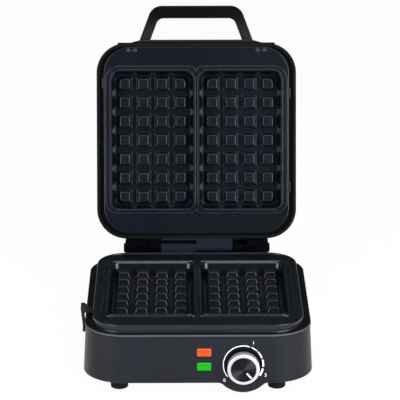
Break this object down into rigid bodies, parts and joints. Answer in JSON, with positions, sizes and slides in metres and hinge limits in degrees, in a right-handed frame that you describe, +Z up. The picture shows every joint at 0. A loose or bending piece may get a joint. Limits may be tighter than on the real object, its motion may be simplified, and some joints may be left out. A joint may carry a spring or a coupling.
{
  "type": "waffle maker",
  "caption": "Two-slice waffle maker with removable plates, a hinged lid with a bail handle, a browning dial and indicator lenses.",
  "frame": {"origin": "middle of the plane under the feet, below the middle of the lower plate", "axes": "+X to the right seen from the dial side, +Y to the hinge at the back, +Z up"},
  "size_m": [0.2501, 0.3603, 0.3438],
  "materials": {
    "housing_paint": "satin charcoal",
    "frame_plastic": "fine matte black",
    "handle_plastic": "matte black",
    "latch_plastic": "matte grey black",
    "nonstick": "dark non-stick coating",
    "sheet_steel": "bright sheet",
    "element_steel": "heat-darkened sheath",
    "screw_steel": "zinc plated",
    "pin_steel": "blackened",
    "foot_rubber": "black rubber",
    "dial_chrome": "satin chrome",
    "dial_black": "spun black",
    "pointer_white": "white",
    "lens_orange": "clear orange",
    "lens_green": "clear green",
    "lamp_glass": "clear",
    "insulator": "bare",
    "wire_sleeve": "silicone sleeve"
  },
  "bodies": {
    "base": {"base_housing": "housing_paint", "base_top_frame": "frame_plastic", "bottom_cover": "frame_plastic", "bottom_cover_screws": "screw_steel", "rubber_feet": "foot_rubber", "lower_reflector": "sheet_steel", "lower_cooking_plate": "nonstick", "lower_plate_pegs": "nonstick", "lower_heating_element": "element_steel", "lower_element_clips": "sheet_steel", "lower_plate_hooks": "latch_plastic", "thermostat_body": "insulator", "thermostat_bracket": "frame_plastic", "thermostat_nut": "screw_steel", "power_lens": "lens_orange", "ready_lens": "lens_green", "indicator_holder": "frame_plastic", "indicator_lamps": "lamp_glass", "terminal_block": "insulator", "thermal_fuse": "insulator", "base_wiring": "wire_sleeve", "cord_gland": "frame_plastic", "base_hinge_bracket": "frame_plastic", "base_hinge_screws": "screw_steel", "hinge_pin": "pin_steel", "hinge_pin_caps": "frame_plastic", "lower_latch_pin": "pin_steel", "lower_latch_spring": "screw_steel"},
    "dial": {"dial_core": "handle_plastic", "dial_ring": "dial_chrome", "dial_cap": "dial_black", "dial_pointer": "pointer_white", "thermostat_shaft": "screw_steel"},
    "lower_latch": {"lower_latch": "latch_plastic"},
    "lid": {"lid_housing": "housing_paint", "lid_inner_frame": "frame_plastic", "lid_frame_screws": "screw_steel", "upper_cooking_plate": "nonstick", "upper_plate_pegs": "nonstick", "upper_heating_element": "element_steel", "upper_element_clips": "sheet_steel", "upper_reflector": "sheet_steel", "upper_plate_hooks": "latch_plastic", "lid_handle": "handle_plastic", "handle_screws": "screw_steel", "lid_hinge_bracket": "housing_paint", "lid_hinge_screws": "screw_steel", "upper_latch_pin": "pin_steel", "upper_latch_spring": "screw_steel"},
    "upper_latch": {"upper_latch": "latch_plastic"}
  },
  "joints": [
    {"name": "lid_hinge", "type": "hinge", "parent": "base", "child": "lid", "pos_m": [0, 0.124, 0.0785], "axis": [1, 0, 0], "range_deg": [0, 106]},
    {"name": "dial_turn", "type": "hinge", "parent": "base", "child": "dial", "pos_m": [0.0478, -0.122, 0.0343], "axis": [0, -1, 0], "range_deg": [0, 270]},
    {"name": "lower_latch_swing", "type": "hinge", "parent": "base", "child": "lower_latch", "pos_m": [-0.12252, -0.054, 0.05205], "axis": [0, -1, 0], "range_deg": [0, 10], "stiffness_Nm_per_rad": 0.05},
    {"name": "upper_latch_swing", "type": "hinge", "parent": "lid", "child": "upper_latch", "pos_m": [-0.1085, 0.18666, 0.25819], "axis": [0, -0.2756, -0.9613], "range_deg": [0, 9], "stiffness_Nm_per_rad": 0.05}
  ]
}
